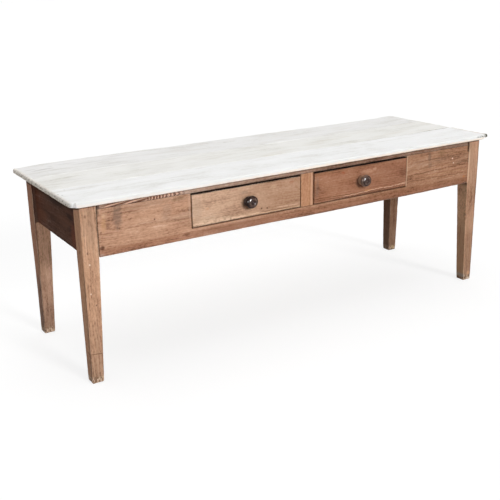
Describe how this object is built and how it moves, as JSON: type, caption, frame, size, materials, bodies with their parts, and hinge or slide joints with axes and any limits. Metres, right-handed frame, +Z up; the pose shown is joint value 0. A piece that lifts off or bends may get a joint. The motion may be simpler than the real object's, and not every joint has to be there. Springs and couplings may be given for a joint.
{
  "type": "prep table",
  "caption": "Long old pine prep table with a planked pale top, tapered legs and two dovetailed drawers with dark turned knobs.",
  "frame": {"origin": "on the floor, under the middle of the box that holds the whole table", "axes": "+X to the right seen from the front with the drawers, +Y to the back, +Z up"},
  "size_m": [2.21, 0.7472, 0.77],
  "materials": {
    "scrubbed_top": "scrubbed matt",
    "pine_frame": "old waxed",
    "dark_apron": "dark stained",
    "drawer_front": "old waxed",
    "bare_pine": "bare",
    "knob": "dark polished",
    "iron": "dull"
  },
  "bodies": {
    "table_frame": {"back_apron": "pine_frame", "drawer_divider": "pine_frame", "drawer_guide_centre": "bare_pine", "drawer_guide_left": "bare_pine", "drawer_guide_right": "bare_pine", "drawer_kicker_centre": "bare_pine", "drawer_kicker_left": "bare_pine", "drawer_kicker_right": "bare_pine", "drawer_runner_centre": "bare_pine", "drawer_runner_left": "bare_pine", "drawer_runner_right": "bare_pine", "drawer_stops": "bare_pine", "end_apron_left": "dark_apron", "end_apron_right": "dark_apron", "front_bottom_rail": "pine_frame", "front_panel_left": "pine_frame", "front_panel_right": "pine_frame", "front_top_rail": "pine_frame", "glue_blocks": "bare_pine", "leg_back_left": "pine_frame", "leg_back_right": "pine_frame", "leg_front_left": "pine_frame", "leg_front_right": "pine_frame", "top_bearer_left": "bare_pine", "top_bearer_right": "bare_pine", "top_board_back": "scrubbed_top", "top_board_front": "scrubbed_top", "top_board_middle": "scrubbed_top", "top_screws": "iron", "top_tongues": "bare_pine"},
    "drawer_left": {"drawer_left_back": "bare_pine", "drawer_left_bottom": "bare_pine", "drawer_left_front": "drawer_front", "drawer_left_knob": "knob", "drawer_left_nails": "iron", "drawer_left_side_left": "bare_pine", "drawer_left_side_right": "bare_pine"},
    "drawer_right": {"drawer_right_back": "bare_pine", "drawer_right_bottom": "bare_pine", "drawer_right_front": "drawer_front", "drawer_right_knob": "knob", "drawer_right_nails": "iron", "drawer_right_side_left": "bare_pine", "drawer_right_side_right": "bare_pine"}
  },
  "joints": [
    {"name": "drawer_left_slide", "type": "slide", "parent": "table_frame", "child": "drawer_left", "axis": [0, -1, 0], "range_m": [0, 0.4]},
    {"name": "drawer_right_slide", "type": "slide", "parent": "table_frame", "child": "drawer_right", "axis": [0, -1, 0], "range_m": [0, 0.4]}
  ]
}
